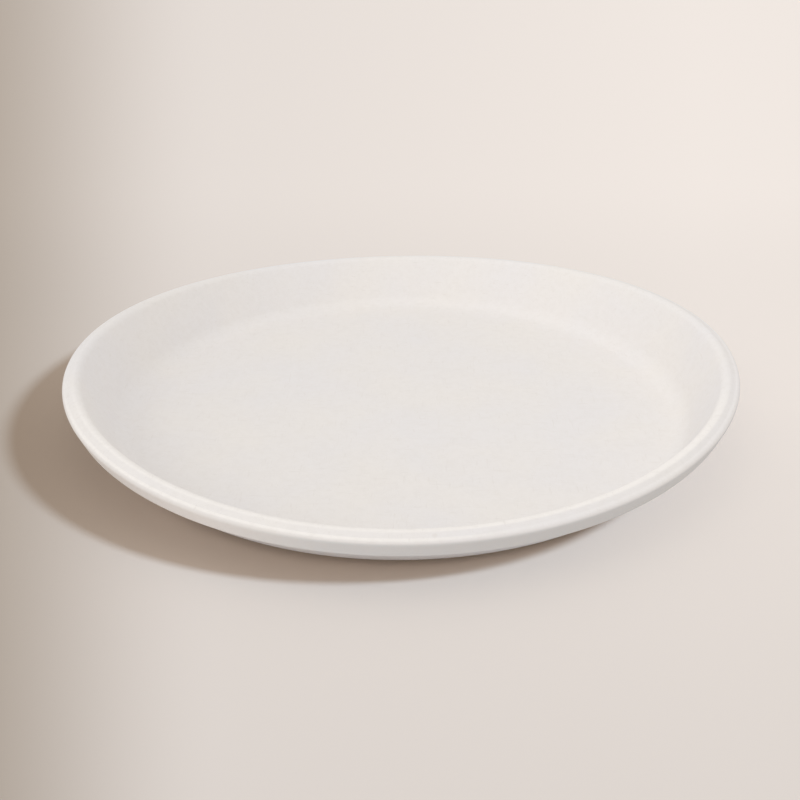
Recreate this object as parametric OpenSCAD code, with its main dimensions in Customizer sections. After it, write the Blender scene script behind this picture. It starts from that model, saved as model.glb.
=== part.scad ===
// Moulded pulp plate: a wide flat dish with a short steep side and a rounded rim that turns down.
// The pulp is one sheet of even thickness, so both of its faces follow one path.
// The rim has dried slightly bowed: its left and right sides ride high, its front and back sag.
// Each bend's radius is measured on the inside of the bend, so the pulp can be made of any thickness.

/* [Plate] */
// Diameter across the widest part of the rim
rim_d = 230; // [150:1:330]
// Height of the rim's crest above the table, taken halfway between its high and its low places
rim_h = 21; // [16:0.5:36]
// How far the left and right sides rise above that height, and the front and back sag below it
rim_bow = 2.4; // [0:0.1:4]
// Which way the highest side points, in degrees anticlockwise from the right as seen from above
bow_turn = 5; // [-90:5:90]
// Slope of the side where it is straight, in degrees
side_a = 61; // [35:1:72]
// Radius of the bend from the flat floor up into the side
corner_r = 8; // [4:0.5:20]
// Thickness of the pulp
wall = 1; // [0.6:0.1:2]

/* [Rim] */
// Radius of the crest where the side rolls over
crest_r = 1.8; // [0.6:0.1:4]
// Slope of the step just outside the crest, in degrees
step_a = 28; // [15:1:40]
// Length of the straight part of that step
step_l = 0.9; // [0.1:0.1:2]
// Radius of the hollow between the crest and the shoulder
hollow_r = 1.2; // [0.6:0.1:2.5]
// Slope of the narrow land outside the hollow, in degrees
land_a = 2; // [0:1:12]
// Width of that land
land_l = 0.1; // [0.1:0.1:2]
// Radius of the shoulder where the rim turns down
shoulder_r = 0.3; // [0.2:0.1:3]
// How far the outer face leans inwards on its way down, in degrees
lean_a = 24; // [6:1:45]
// Length of the straight part of the outer face
face_l = 4.9; // [2:0.1:6]

/* [Hidden] */
// Flats round the plate, and steps along each kind of bend
around = 72;
base_flats = 96;
bend_steps = 4;
crest_steps = 3;
hollow_steps = 2;
shoulder_steps = 4;
side_steps = 3;
edge_steps = 3;
// How far the bowed ring reaches in over the flat base, and how far the two lie in each other
ring_lap = 4;
overlap = 2;

// A stop on the path is [r, z, heading]: the heading is 0 outwards and 90 upwards.
function heading(a) = [cos(a), sin(a)];
function left_of(a) = [-sin(a), cos(a)];
function stop_at(p, a) = [p.x, p.y, a];

// Stops along an arc from heading a0 to a1 about centre c: it bends upwards when a1 is the larger.
function arc_stops(c, radius, a0, a1, steps) =
    let (side = a1 > a0 ? -1 : 1)
    [for (k = [0:steps]) let (a = a0 + (a1 - a0) * k / steps) stop_at(c + side * radius * left_of(a), a)];

// The crest and the shoulder bend downwards, so the upper face goes round the outside of them.
crest_out = crest_r + wall;
shoulder_out = shoulder_r + wall;

// The shoulder's widest point lies on the rim's diameter, and the path is worked out inwards from it.
// Each centre is given from the crest's own centre, and the crest is then placed to suit.
crest_to_step = crest_out * left_of(-step_a) + step_l * heading(-step_a);
step_to_hollow = hollow_r * left_of(-step_a);
hollow_to_land = -hollow_r * left_of(-land_a) + land_l * heading(-land_a);
land_to_shoulder = -shoulder_out * left_of(-land_a);
hollow_from_crest = crest_to_step + step_to_hollow;
shoulder_from_crest = hollow_from_crest + hollow_to_land + land_to_shoulder;
crest_c = [rim_d / 2 - shoulder_out - shoulder_from_crest.x, rim_h - crest_out];
hollow_c = crest_c + hollow_from_crest;
shoulder_c = crest_c + shoulder_from_crest;

// The side runs straight down from the crest until it meets the bend that rises from the flat floor.
side_top = crest_c + crest_out * left_of(side_a);
side_foot_z = wall + corner_r * (1 - cos(side_a));
side_foot = [side_top.x - (side_top.y - side_foot_z) / tan(side_a), side_foot_z];
corner_c = side_foot + corner_r * left_of(side_a);
base_r = corner_c.x;

face_a = -90 - lean_a;
face_end = shoulder_c + shoulder_out * left_of(face_a) + face_l * heading(face_a);

// The upper face, from the flat floor to the rim's lower edge. The crest's top and the rim's widest
// point are stops of their own, so the plate is as high and as wide as its sizes say.
upper = concat(
    [stop_at([base_r - ring_lap, wall], 0)],
    arc_stops(corner_c, corner_r, 0, side_a, bend_steps),
    [for (k = [1:side_steps - 1]) stop_at(side_foot + (side_top - side_foot) * k / side_steps, side_a)],
    arc_stops(crest_c, crest_out, side_a, 0, crest_steps),
    arc_stops(crest_c, crest_out, -step_a / 2, -step_a, 1),
    arc_stops(hollow_c, hollow_r, -step_a, -land_a, hollow_steps),
    arc_stops(shoulder_c, shoulder_out, -land_a, -90, shoulder_steps),
    arc_stops(shoulder_c, shoulder_out, (face_a - 90) / 2, face_a, 1),
    [stop_at(face_end, face_a)]
);
// The lower edge is rounded over the thickness of the pulp.
edge_c = face_end - wall / 2 * left_of(face_a);
edge = [for (k = [1:edge_steps - 1]) let (a = face_a - 180 * k / edge_steps) edge_c + wall / 2 * left_of(a)];
// The under face lies one thickness below the upper face all the way back to the base.
under = [for (k = [len(upper) - 1:-1:0]) [upper[k].x, upper[k].y] - wall * left_of(upper[k].z)];
section = concat([for (s = upper) [s.x, s.y]], edge, under);

// The bow grows smoothly from nothing at the flat base to its full height at the crest.
function bow_share(r) = let (u = max(0, min(1, (r - base_r) / (crest_c.x - base_r)))) u * u * (3 - 2 * u);
function rim_rise(r, a) = rim_bow * bow_share(r) * cos(2 * (a - bow_turn));

// The side and the rim, bowed: rings of the section's points, joined into one closed band
module bowed_ring() {
    n = len(section);
    points = [for (i = [0:around - 1]) let (a = 360 * i / around) for (p = section)
        [p.x * cos(a), p.x * sin(a), p.y + rim_rise(p.x, a)]];
    faces = [for (i = [0:around - 1]) let (here = i * n, next = (i + 1) % around * n) for (j = [0:n - 1])
        let (k = (j + 1) % n)
        each [[here + j, next + j, next + k], [here + j, next + k, here + k]]];
    polyhedron(points, faces);
}

// The flat floor of the dish, with the flat base under it
module flat_base() {
    cylinder(h = wall, r = base_r - ring_lap + overlap, $fn = base_flats);
}

module plate() {
    color("linen") union() {
        bowed_ring();
        flat_base();
    }
}

plate();
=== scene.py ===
# %% [markdown]
# # A plate of moulded paper pulp
#
# The plate is one sheet of pressed pulp about a millimetre thick. It has a wide flat
# floor, a short steep side, and a rim that rolls over and turns down so that it is stiff to hold.
# The sheet is turned from one path, given its thickness, and then bowed a little, as the real one
# bowed when it dried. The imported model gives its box, and everything here stays inside that.

import math

import bmesh
import bpy
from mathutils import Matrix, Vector


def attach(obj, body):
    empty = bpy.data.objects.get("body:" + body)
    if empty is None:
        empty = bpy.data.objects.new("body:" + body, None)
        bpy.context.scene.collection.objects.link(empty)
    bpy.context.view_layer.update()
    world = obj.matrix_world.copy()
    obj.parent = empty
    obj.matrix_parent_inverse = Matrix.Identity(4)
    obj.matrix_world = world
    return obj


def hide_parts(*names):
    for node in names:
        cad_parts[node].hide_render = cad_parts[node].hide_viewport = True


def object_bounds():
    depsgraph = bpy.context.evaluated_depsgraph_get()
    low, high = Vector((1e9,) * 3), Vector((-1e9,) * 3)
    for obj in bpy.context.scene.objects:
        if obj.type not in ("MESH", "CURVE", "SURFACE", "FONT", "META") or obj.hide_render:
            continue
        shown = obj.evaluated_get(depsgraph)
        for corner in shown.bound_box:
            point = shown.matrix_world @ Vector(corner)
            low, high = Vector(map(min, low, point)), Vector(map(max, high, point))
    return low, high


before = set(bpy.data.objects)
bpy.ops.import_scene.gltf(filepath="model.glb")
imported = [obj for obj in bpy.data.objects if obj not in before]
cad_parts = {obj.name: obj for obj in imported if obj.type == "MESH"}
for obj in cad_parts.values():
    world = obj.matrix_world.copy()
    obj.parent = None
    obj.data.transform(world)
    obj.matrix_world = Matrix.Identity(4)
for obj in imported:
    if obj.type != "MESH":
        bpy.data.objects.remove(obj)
cad_low, cad_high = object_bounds()
MM = 0.001
rim_r = (cad_high.x - cad_low.x) / 2 / MM
print("rim radius in mm:", round(rim_r, 3), "height in mm:", round((cad_high.z - cad_low.z) / MM, 3))


# %% [markdown]
# ## The camera
#
# The photo was taken from a little above the table, close to the plate, so the far rim looks
# clearly narrower than the near one. That narrowing fixes how long the lens is. Here the camera
# looks at the middle of the base from a known distance and height, with the small roll of a
# camera held by hand. A slight shift sets the plate a little below the middle of the picture.

# %% Place the camera
PICTURE_PX = 800
LENS_PX = 1200
CAMERA_DISTANCE = 0.4291
CAMERA_RISE = math.radians(26.43)
CAMERA_ROLL = math.radians(0.556)
SHIFT_RIGHT_PX = 1.38
SHIFT_DOWN_PX = 8.46


def make_camera():
    data = bpy.data.cameras.new("camera")
    data.sensor_width = 36.0
    data.lens = data.sensor_width * LENS_PX / PICTURE_PX
    data.shift_x = -SHIFT_RIGHT_PX / PICTURE_PX
    data.shift_y = SHIFT_DOWN_PX / PICTURE_PX
    data.clip_start = 0.01
    camera = bpy.data.objects.new("camera", data)
    bpy.context.scene.collection.objects.link(camera)
    back = Vector((0.0, -math.cos(CAMERA_RISE), math.sin(CAMERA_RISE)))
    camera.location = back * CAMERA_DISTANCE
    camera.rotation_euler = back.to_track_quat("Z", "Y").to_euler()
    camera.rotation_euler.rotate_axis("Z", -CAMERA_ROLL)
    return camera


camera = make_camera()
bpy.context.scene.camera = camera
print("camera at", [round(x, 4) for x in camera.location], "lens", round(camera.data.lens, 2), "mm")


# %% [markdown]
# ## The path of the sheet
#
# Both faces of the pulp follow one path, so only the upper face needs drawing. It could be typed
# as a row of points, but a real mould is described by straight runs and bends, and a path made of
# those is easier to change. Two helpers do it. One extrudes the last point straight on. The other
# spins the last point about the centre of a bend, which leaves a true arc behind it.

# %% Two helpers that walk along the path


def run_on(bm, tip, length, heading, steps=1):
    """Extrude the tip straight on. The heading is in degrees, 0 outwards and 90 upwards."""
    a = math.radians(heading)
    step = Vector((math.cos(a), 0, math.sin(a))) * length * MM / steps
    for _ in range(steps):
        tip = bmesh.ops.extrude_vert_indiv(bm, verts=[tip])["verts"][0]
        bmesh.ops.translate(bm, verts=[tip], vec=step)
    return tip


def bend_on(bm, tip, heading, turn, radius, steps):
    """Spin the tip through a bend of this radius. A positive turn bends upwards."""
    a = math.radians(heading)
    left = Vector((-math.sin(a), 0, math.cos(a)))
    centre = tip.co + left * math.copysign(radius * MM, turn)
    made = bmesh.ops.spin(
        bm, geom=[tip], cent=centre, axis=(0, -1, 0), angle=math.radians(turn),
        steps=steps, use_merge=False, use_duplicate=False,
    )
    return made["geom_last"][0]


# %% [markdown]
# ## Sizes of the section
#
# These are the sizes that a mould maker would read off the drawing, in millimetres and degrees.
# The width and the height of the whole plate come from the frame. What is left over between the
# rim and the side is the flat base, so it is worked out here and not typed. Each radius is that of
# the upper face.

# %% Sizes of the section
WALL = 1.0
SIDE_SLOPE = 61.0
CORNER_R = 8.0
CREST_R = 2.8
STEP_SLOPE = 28.0
STEP_RUN = 0.9
HOLLOW_R = 1.2
LAND_SLOPE = 2.0
LAND_RUN = 0.1
SHOULDER_R = 1.3
FACE_LEAN = 24.0
FACE_RUN = 4.9
BOW = 2.4
BOW_TURN = 5.0


def cosine(degrees):
    return math.cos(math.radians(degrees))


def sine(degrees):
    return math.sin(math.radians(degrees))


rim_h = (cad_high.z - cad_low.z) / MM - BOW
side_rise = rim_h - CREST_R * (1 - cosine(SIDE_SLOPE)) - WALL - CORNER_R * (1 - cosine(SIDE_SLOPE))
side_run = side_rise / sine(SIDE_SLOPE)
crest_reach = CORNER_R * sine(SIDE_SLOPE) + side_run * cosine(SIDE_SLOPE) + CREST_R * sine(SIDE_SLOPE)
rim_reach = (
    CREST_R * sine(STEP_SLOPE) + STEP_RUN * cosine(STEP_SLOPE)
    + HOLLOW_R * (sine(STEP_SLOPE) - sine(LAND_SLOPE)) + LAND_RUN * cosine(LAND_SLOPE)
    + SHOULDER_R * (1 - sine(LAND_SLOPE))
)
crest_at = rim_r - rim_reach
base_r = crest_at - crest_reach
print("crest height", round(rim_h, 3), "crest at", round(crest_at, 2), "base radius", round(base_r, 2))


# %% Walk the path of the upper face
FLOOR_RINGS = 12
CORNER_STEPS = 12
SIDE_STEPS = 6
CREST_IN_STEPS = 15
CREST_OUT_STEPS = 7
HOLLOW_STEPS = 6
SHOULDER_STEPS = 20
UNDERCUT_STEPS = 8
FACE_STEPS = 5


def upper_path(bm):
    tip = bmesh.ops.create_vert(bm, co=(0, 0, WALL * MM))["vert"][0]
    tip = run_on(bm, tip, base_r, 0, FLOOR_RINGS)
    tip = bend_on(bm, tip, 0, SIDE_SLOPE, CORNER_R, CORNER_STEPS)
    tip = run_on(bm, tip, side_run, SIDE_SLOPE, SIDE_STEPS)
    tip = bend_on(bm, tip, SIDE_SLOPE, -SIDE_SLOPE, CREST_R, CREST_IN_STEPS)
    tip = bend_on(bm, tip, 0, -STEP_SLOPE, CREST_R, CREST_OUT_STEPS)
    tip = run_on(bm, tip, STEP_RUN, -STEP_SLOPE)
    tip = bend_on(bm, tip, -STEP_SLOPE, STEP_SLOPE - LAND_SLOPE, HOLLOW_R, HOLLOW_STEPS)
    tip = run_on(bm, tip, LAND_RUN, -LAND_SLOPE)
    tip = bend_on(bm, tip, -LAND_SLOPE, LAND_SLOPE - 90, SHOULDER_R, SHOULDER_STEPS)
    tip = bend_on(bm, tip, -90, -FACE_LEAN, SHOULDER_R, UNDERCUT_STEPS)
    return run_on(bm, tip, FACE_RUN, -90 - FACE_LEAN, FACE_STEPS)


plate_bm = bmesh.new()
end = upper_path(plate_bm)
print("path of", len(plate_bm.verts), "points ends at", [round(x / MM, 2) for x in end.co])


# %% [markdown]
# ## Turn the path into a sheet
#
# A plate is round, so spinning the path once about the upright axis makes its upper face. The
# last turn is merged with the first, and the many copies of the middle point are merged into one.
# The merge can leave the face looking down, so the normals are made to agree and then checked on
# the flat floor before the sheet gets its thickness.

# %% Spin the path and face it upwards
TURNS = 288
SAME_POINT = 0.002


def spin_sheet(bm):
    bmesh.ops.spin(
        bm, geom=bm.verts[:] + bm.edges[:], cent=(0, 0, 0), axis=(0, 0, 1), angle=2 * math.pi,
        steps=TURNS, use_merge=True, use_duplicate=False,
    )
    bmesh.ops.remove_doubles(bm, verts=bm.verts[:], dist=SAME_POINT * MM)
    bmesh.ops.recalc_face_normals(bm, faces=bm.faces[:])
    middle = min(bm.faces, key=lambda f: f.calc_center_median().xy.length)
    if middle.normal.z < 0:
        bmesh.ops.reverse_faces(bm, faces=bm.faces[:])


spin_sheet(plate_bm)
open_edges = sum(e.is_boundary for e in plate_bm.edges)
print("upper face:", len(plate_bm.faces), "faces,", open_edges, "open edges")


# %% [markdown]
# ## Give the sheet its thickness
#
# Before that, the ridges of the rim are marked. The crest and the shoulder get a painted highlight,
# which makes them a little paler than the hollow between them. The marks are numbers kept on the
# points, so that they follow the rim when it is bowed. The painted highlight lies only on the front
# of the rim, and on the shoulder only on its left half, so the marks fade away from there. The
# outer face gets a painted shade, a little greyer, everywhere but on the front left.
#
# Pulp settles on the mould in an even layer. Solidify copies the upper face one thickness away
# along its normals, which is just that. The copy is the under face. It lay against a wire mesh
# while the pulp dried, so it is coarser, and it gets the second finish. The narrow band that
# joins the two faces is the rim's lower edge, and a bevel of half the thickness rounds it.

# %% Mark the painted highlight on the crest and shoulder, and the painted shade on the outer face
RIDGE_HIGHLIGHT, FLANK_SHADE = "painted_highlight", "painted_shade"
shoulder_at = rim_r - SHOULDER_R


def ramp(value, low, high):
    """A smooth step: 0 below the low end, 1 above the high end, and eased between them."""
    share = max(0.0, min(1.0, (value - low) / (high - low)))
    return share * share * (3 - 2 * share)


# Painted highlight: the crest and the shoulder at the front of the rim are made paler where light
# catches them.
def highlight_share(point, normal):
    """How much painted highlight this point of the upper face gets: 1 on a lit crest or shoulder, 0
    elsewhere.
    """
    r = point.xy.length / MM
    crest = ramp(r, crest_at - 2.6, crest_at - 1.4) * (1 - ramp(r, crest_at + 0.3, crest_at + 1.2))
    shoulder = ramp(r, shoulder_at - 0.3, shoulder_at + 0.1) * ramp(normal.z, 0.55, 0.9)
    left = 1 - ramp(point.x / MM, -10, 45)
    front = 1 - ramp(point.y / MM, -70, -10)
    return max(crest, shoulder * left) * front


# Painted shade: the outer face is made greyer where it turns down, away from the light, except at the
# front left.
def flank_shade_share(point, normal):
    """How much painted shade this point of the outer face gets: 0 on top and at the front left."""
    if point.xy.length / MM < crest_at:
        return 0.0
    front_left = (1 - ramp(point.x / MM, -60, -15)) * (1 - ramp(point.y / MM, -60, 0))
    return (1 - ramp(normal.z, -0.1, 0.5)) * (1 - front_left)


def mark_points(bm, name, share):
    layer = bm.verts.layers.float.new(name)
    for vert in bm.verts:
        vert[layer] = share(vert.co, vert.normal)
    return sum(v[layer] > 0.5 for v in bm.verts)


highlight_points = mark_points(plate_bm, RIDGE_HIGHLIGHT, highlight_share)
shaded_points = mark_points(plate_bm, FLANK_SHADE, flank_shade_share)
print("points marked:", highlight_points, "on the ridges and", shaded_points, "on the outer face")


# %% Thicken the sheet and round its lower edge
UNDER = 1
EDGE_ROUND = 0.49
EDGE_SEGMENTS = 4


def thicken(bm):
    """Give the sheet its under face and round the band that joins the two. Returns the band's size."""
    upper = set(bm.faces)
    made = bmesh.ops.solidify(bm, geom=bm.faces[:], thickness=WALL * MM)["geom"]
    under = {g for g in made if isinstance(g, bmesh.types.BMFace)}
    for face in under:
        face.material_index = UNDER
    band = [f for f in bm.faces if f not in upper and f not in under]
    rings = {e for f in band for e in f.edges if any(g not in band for g in e.link_faces)}
    bmesh.ops.bevel(
        bm, geom=list(rings), offset=EDGE_ROUND * WALL * MM, offset_type="OFFSET",
        segments=EDGE_SEGMENTS, profile=0.5, affect="EDGES", material=-1,
    )
    return len(band)


band_faces = thicken(plate_bm)
open_edges = sum(e.is_boundary for e in plate_bm.edges)
print("lower edge band:", band_faces, "faces; open edges:", open_edges)


# %% [markdown]
# ## Bow the rim
#
# A thin round sheet that dries unevenly goes slightly saddle-shaped. Seen from the front, the left
# and right of this rim ride high and its front and back sag, by a few millimetres. The flat base
# stays flat. A lattice could bend it too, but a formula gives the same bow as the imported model: the
# rise grows smoothly from the base's edge to the crest, and swings twice up and down in one turn.

# %% Lift the sides and lower the front and back


def rise_at(point):
    """How far this point is lifted. It is less than nothing at the front and the back."""
    share = ramp(point.xy.length / MM, base_r, crest_at)
    turn = math.atan2(point.y, point.x) - math.radians(BOW_TURN)
    return BOW * MM * share * math.cos(2 * turn)


for vert in plate_bm.verts:
    vert.co.z += rise_at(vert.co)
print("rim now spans", [round(f(v.co.z for v in plate_bm.verts) / MM, 2) for f in (min, max)], "mm")


# %% Make the plate's object


def make_object(name, bm):
    mesh = bpy.data.meshes.new(name)
    for face in bm.faces:
        face.smooth = True
    bm.to_mesh(mesh)
    bm.free()
    made = bpy.data.objects.new(name, mesh)
    bpy.context.scene.collection.objects.link(made)
    return made


plate = make_object("pulp_plate", plate_bm)
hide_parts("plate")
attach(plate, "root")
print("plate:", len(plate.data.polygons), "faces")


# %% [markdown]
# ## The finish of the pulp
#
# Pressed pulp is matt and off-white. From close by it is never one flat colour: the fibres gather
# in soft clouds a few centimetres across and in small flocs of a millimetre or two, and single
# fibres show as short faint hairs. An image could carry all that, but noise on the object's own
# coordinates is sharp at any distance and never repeats. Each layer moves the colour very little.
# The marked ridges are mixed towards a paler white, a painted highlight, and the outer face towards
# grey, a painted shade. The under face is a shade cooler. One small dark spot, about a millimetre
# across, darkens the front of the rim. The depths and the spot's reach are in millimetres, and each
# noise is given by how many of its lumps fit along a metre.

# %% Node helpers


def rgb(r, g, b):
    """A colour as a picture editor shows it, made linear for the shader."""
    linear = [((c / 255 + 0.055) / 1.055) ** 2.4 if c > 10 else c / 255 / 12.92 for c in (r, g, b)]
    return (*linear, 1.0)


class Graph:
    """A material's nodes, with short calls that add and join them."""

    def __init__(self, name):
        self.material = bpy.data.materials.new(name)
        self.material.use_nodes = True
        self.tree = self.material.node_tree
        self.shader = self.tree.nodes["Principled BSDF"]
        self.place = self.add("ShaderNodeTexCoord").outputs["Object"]

    def add(self, kind, **values):
        node = self.tree.nodes.new(kind)
        for key, value in values.items():
            if key in node.inputs:
                node.inputs[key].default_value = value
            else:
                setattr(node, key, value)
        return node

    def join(self, source, target):
        self.tree.links.new(source, target)

    def noise(self, scale, detail, rough, stretch=None, turn=(0, 0, 0)):
        """Noise on the object's own coordinates, which can be stretched and turned first."""
        node = self.add("ShaderNodeTexNoise", Scale=scale, Detail=detail, Roughness=rough)
        place = self.place
        if stretch:
            mapping = self.add("ShaderNodeMapping", Scale=stretch, Rotation=turn)
            self.join(place, mapping.inputs["Vector"])
            place = mapping.outputs["Vector"]
        self.join(place, node.inputs["Vector"])
        return node.outputs["Fac"]

    def remap(self, value, low, high, to_low, to_high, smooth=False):
        """A Map Range node, which keeps to its ends. A smooth one eases in and out."""
        node = self.add("ShaderNodeMapRange", interpolation_type="SMOOTHSTEP" if smooth else "LINEAR")
        ends = {"From Min": low, "From Max": high, "To Min": to_low, "To Max": to_high}
        for socket, number in ends.items():
            node.inputs[socket].default_value = number
        self.join(value, node.inputs["Value"])
        return node.outputs["Result"]

    def blend(self, share, first, second):
        """Mix two colours. Each is a colour or another node's output."""
        node = self.add("ShaderNodeMix", data_type="RGBA")
        self.join(share, node.inputs[0])
        for socket, value in ((node.inputs[6], first), (node.inputs[7], second)):
            if isinstance(value, tuple):
                socket.default_value = value
            else:
                self.join(value, socket)
        return node.outputs[2]

    def compute(self, operation, first, second):
        """A Math node. Each of the two values is a number or another node's output."""
        node = self.add("ShaderNodeMath", operation=operation)
        for socket, value in zip(node.inputs, (first, second)):
            if isinstance(value, float):
                socket.default_value = value
            else:
                self.join(value, socket)
        return node.outputs[0]

    def sum_of(self, first, second, share):
        """The first value plus this share of the second."""
        node = self.add("ShaderNodeMath", operation="MULTIPLY_ADD")
        self.join(second, node.inputs[0])
        node.inputs[1].default_value = share
        self.join(first, node.inputs[2])
        return node.outputs[0]


# %% The pulp's finish
PULP_WARM = rgb(239, 235, 231)
PULP_COOL = rgb(237, 234, 233)
PULP_DARK = rgb(226, 221, 216)
PAINTED_HIGHLIGHT_WHITE = rgb(247, 243, 239)
PAINTED_SHADE_GREY = rgb(219, 219, 219)
UNDER_WARM = rgb(236, 235, 236)
UNDER_COOL = rgb(232, 233, 235)
DARK_SPOT_AT = Vector((8.6, -112.6, 18.0)) * MM
DARK_SPOT_INNER = 0.4
DARK_SPOT_OUTER = 1.0
DARK_SPOT_TINT = 0.45
CLOUDS_PER_M = 24
WAVES_PER_M = 45
FLOCS_PER_M = 420
GRAINS_PER_M = 1500
HAIR_ALONG = 160
HAIR_ACROSS = 1500
HAIR_TURNS = (0.6, -0.3)
FLOC_TINT = 0.22
HAIR_TINT = 0.35
HAIR_RELIEF = 0.4
WAVE_DEPTH = 0.5
GRAIN_SMOOTH = 0.05
GRAIN_COARSE = 0.12


def pulp_finish(name, warm, cool, grain):
    """Matt pulp of two tints. The grain is how deep the fine relief is, in millimetres."""
    g = Graph(name)
    clouds = g.remap(g.noise(CLOUDS_PER_M, 3, 0.5), 0.35, 0.65, 0.0, 1.0)
    flocs = g.noise(FLOCS_PER_M, 4, 0.65)
    colour = g.blend(clouds, warm, cool)
    # The first mark mixes in a painted highlight on the ridges, the second a painted shade on the outer
    # face.
    for mark, tint in ((RIDGE_HIGHLIGHT, PAINTED_HIGHLIGHT_WHITE), (FLANK_SHADE, PAINTED_SHADE_GREY)):
        share = g.add("ShaderNodeAttribute", attribute_name=mark).outputs["Fac"]
        colour = g.blend(share, colour, tint)
    # A small dark spot, about a millimetre across, on the front of the rim.
    spot_distance = g.add("ShaderNodeVectorMath", operation="DISTANCE")
    g.join(g.place, spot_distance.inputs[0])
    spot_distance.inputs[1].default_value = DARK_SPOT_AT
    away = spot_distance.outputs["Value"]
    near_spot = g.remap(away, DARK_SPOT_INNER * MM, DARK_SPOT_OUTER * MM, DARK_SPOT_TINT, 0.0, smooth=True)
    colour = g.blend(near_spot, colour, PULP_DARK)
    colour = g.blend(g.remap(flocs, 0.42, 0.72, 0.0, FLOC_TINT), colour, PULP_DARK)
    hairs = [
        g.noise(1.0, 2, 0.5, stretch=(HAIR_ALONG, HAIR_ACROSS, HAIR_ACROSS), turn=(0, 0, HAIR_TURNS[0])),
        g.noise(1.0, 2, 0.5, stretch=(HAIR_ACROSS, HAIR_ALONG, HAIR_ACROSS), turn=(0, 0, HAIR_TURNS[1])),
    ]
    for hair in hairs:
        colour = g.blend(g.remap(hair, 0.63, 0.75, 0.0, HAIR_TINT), colour, PULP_DARK)
    g.join(colour, g.shader.inputs["Base Color"])
    g.join(g.remap(flocs, 0.3, 0.7, 0.82, 0.96), g.shader.inputs["Roughness"])
    g.shader.inputs["Specular IOR Level"].default_value = 0.3
    relief = g.sum_of(g.noise(GRAINS_PER_M, 4, 0.6), flocs, 1.0)
    for hair in hairs:
        relief = g.sum_of(relief, hair, HAIR_RELIEF)
    bump = g.add("ShaderNodeBump", Strength=1.0, Distance=grain * MM)
    g.join(relief, bump.inputs["Height"])
    waves = g.add("ShaderNodeBump", Strength=1.0, Distance=WAVE_DEPTH * MM)
    g.join(g.noise(WAVES_PER_M, 2, 0.4), waves.inputs["Height"])
    g.join(waves.outputs["Normal"], bump.inputs["Normal"])
    g.join(bump.outputs["Normal"], g.shader.inputs["Normal"])
    return g.material


plate.data.materials.append(pulp_finish("pulp_smooth", PULP_WARM, PULP_COOL, GRAIN_SMOOTH))
plate.data.materials.append(pulp_finish("pulp_coarse", UNDER_WARM, UNDER_COOL, GRAIN_COARSE))
print("finishes:", [m.name for m in plate.data.materials])


# %% [markdown]
# ## The table
#
# The plate stands on a plain pale surface. It is one large face, with a warm off-white finish that
# is a little darker than the plate, so the plate's pale rim stands out against it. The surface
# falls off into shade on the left and, far less, towards the front and the middle. The left shade
# spreads like a fan from a point in front of the plate, so it follows the slope of a line from
# there, and it ends near that point. It is a little warmer than the open surface. All the shades
# are laid into the floor's own colour, which keeps the lamps simple. The floor lies a hair below
# the plate, so that no two faces share one place.

# %% Make the floor
FLOOR_SIZE = 6.0
FLOOR_GAP = 0.02
FLOOR_PALE = rgb(242, 223, 206)
FLOOR_BLACK = rgb(0, 0, 0)
FLOOR_LEFT = rgb(112, 77, 0)
FAN_FROM = 0.5
FAN_LEAST = 0.2
LEFT_SHADE = 0.57
ACROSS_SHADE = 0.11
FRONT_SHADE = 0.145
MIDDLE_SHADE = 0.045


def floor_colour(g):
    """The floor's pale colour, darkened to the left and towards the front."""
    axes = g.add("ShaderNodeSeparateXYZ")
    g.join(g.place, axes.inputs[0])
    right, back = axes.outputs["X"], axes.outputs["Y"]
    reach = g.compute("MAXIMUM", g.compute("ADD", back, FAN_FROM), FAN_LEAST)
    slope = g.compute("DIVIDE", right, reach)
    across = g.remap(slope, -0.14, 0.22, ACROSS_SHADE, 0.0)
    across = g.compute("MULTIPLY", across, g.remap(back, -0.2, 0.1, 0.2, 1.0))
    left = g.remap(slope, -0.345, -0.127, LEFT_SHADE, 0.0, smooth=True)
    left = g.compute("MULTIPLY", left, g.remap(back, -0.6, -0.2, 0.0, 1.0, smooth=True))
    front = g.remap(back, -0.21, 0.0, FRONT_SHADE, 0.0)
    middle = g.remap(back, 0.1, 0.3, MIDDLE_SHADE, 0.0, smooth=True)
    colour = g.blend(left, FLOOR_PALE, FLOOR_LEFT)
    for shade in (across, front, middle):
        colour = g.blend(shade, colour, FLOOR_BLACK)
    return colour


def make_floor():
    """One square face, a hair below the plate."""
    bm = bmesh.new()
    bmesh.ops.create_grid(bm, x_segments=1, y_segments=1, size=FLOOR_SIZE / 2)
    bmesh.ops.translate(bm, verts=bm.verts[:], vec=(0, 0, -FLOOR_GAP * MM))
    floor = make_object("floor", bm)
    g = Graph("floor_finish")
    g.join(floor_colour(g), g.shader.inputs["Base Color"])
    g.shader.inputs["Roughness"].default_value = 0.9
    g.shader.inputs["Specular IOR Level"].default_value = 0.2
    floor.data.materials.append(g.material)
    return floor


floor = make_floor()
print("floor:", FLOOR_SIZE, "m wide, its top", FLOOR_GAP, "mm below the plate")


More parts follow.
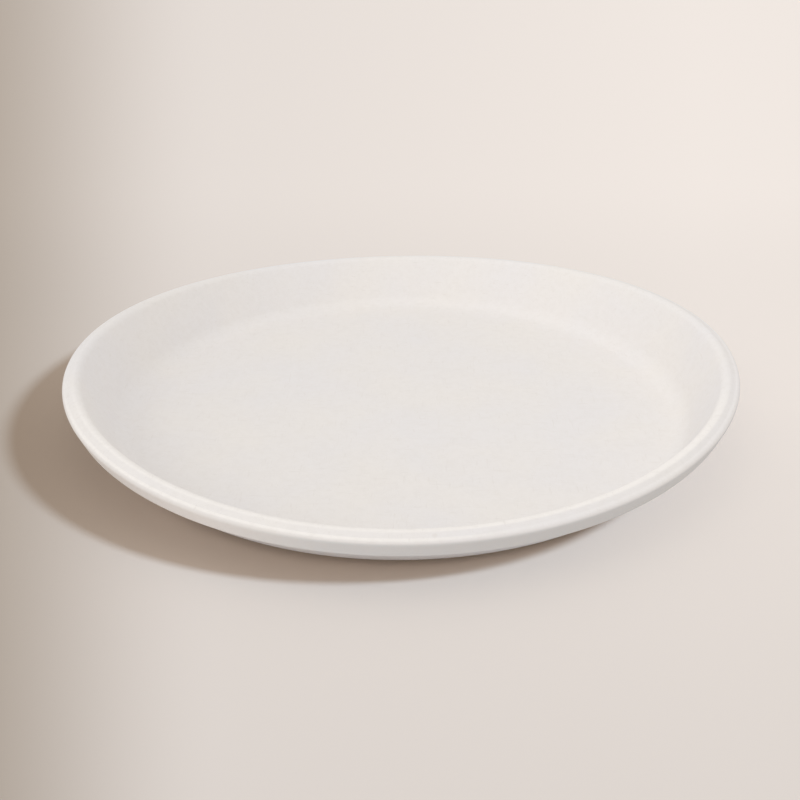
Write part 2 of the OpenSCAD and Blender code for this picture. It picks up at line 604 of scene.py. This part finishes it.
# %% [markdown]
# ## The light
#
# The picture is lit softly. A pale, slightly warm surround fills every shadow. A large soft lamp at
# the front left models the dish: it makes the back and the right of the side bright and leaves
# its left a little darker. A low lamp further round to the left lifts the outer face there. A
# small lamp close above, a little to the right, lets the floor of the dish fade to the left. A
# cooler and distant lamp on the right gives the plate its shadow on the table. It is set to light
# the table only, and the others the plate only, so that neither undoes the work of the other.

# %% Make the lamps


def lamp_place(turn, rise, distance):
    """A place seen from the plate's middle. The turn is in degrees anticlockwise from the right."""
    return Vector((cosine(turn) * cosine(rise), sine(turn) * cosine(rise), sine(rise))) * distance


def place_lamp(data, place, lights_only):
    """Point a lamp at the plate. Only one object receives its light."""
    lamp = bpy.data.objects.new(data.name, data)
    lamp.location = place
    lamp.rotation_euler = place.to_track_quat("Z", "Y").to_euler()
    bpy.context.scene.collection.objects.link(lamp)
    group = bpy.data.collections.new(data.name + "_lights")
    group.objects.link(lights_only)
    lamp.light_linking.receiver_collection = group


def soft_lamp(name, place, size, power, lights_only):
    """A round lamp. Its size is in metres and its power in watts."""
    data = bpy.data.lights.new(name, "AREA")
    data.shape = "DISK"
    data.size = size
    data.energy = power
    place_lamp(data, place, lights_only)


def far_lamp(name, place, spread, strength, colour, lights_only):
    """A lamp so far away that it lights the whole table alike. Its spread softens the shadow."""
    data = bpy.data.lights.new(name, "SUN")
    data.angle = math.radians(spread)
    data.energy = strength
    data.color = colour
    place_lamp(data, place, lights_only)


def make_surround(strength, colour):
    """An even light from all around."""
    world = bpy.data.worlds.new("surround")
    world.use_nodes = True
    background = world.node_tree.nodes["Background"]
    background.inputs["Color"].default_value = colour
    background.inputs["Strength"].default_value = strength
    bpy.context.scene.world = world


WARM_SURROUND = (1.0, 0.98, 0.96, 1.0)
COOL_LAMP = (0.56, 0.76, 1.0)
make_surround(0.67, WARM_SURROUND)
soft_lamp("front_lamp", lamp_place(-135, 38, 1.8), 1.0, 5.4, plate)
soft_lamp("low_lamp", lamp_place(-150, 12, 1.8), 1.0, 3.9, plate)
soft_lamp("near_lamp", lamp_place(0, 70, 0.6), 0.33, 0.66, plate)
far_lamp("table_lamp", lamp_place(-20, 40, 3.6), 8.5, 2.86, COOL_LAMP, floor)
bpy.context.scene.view_settings.view_transform = "Standard"
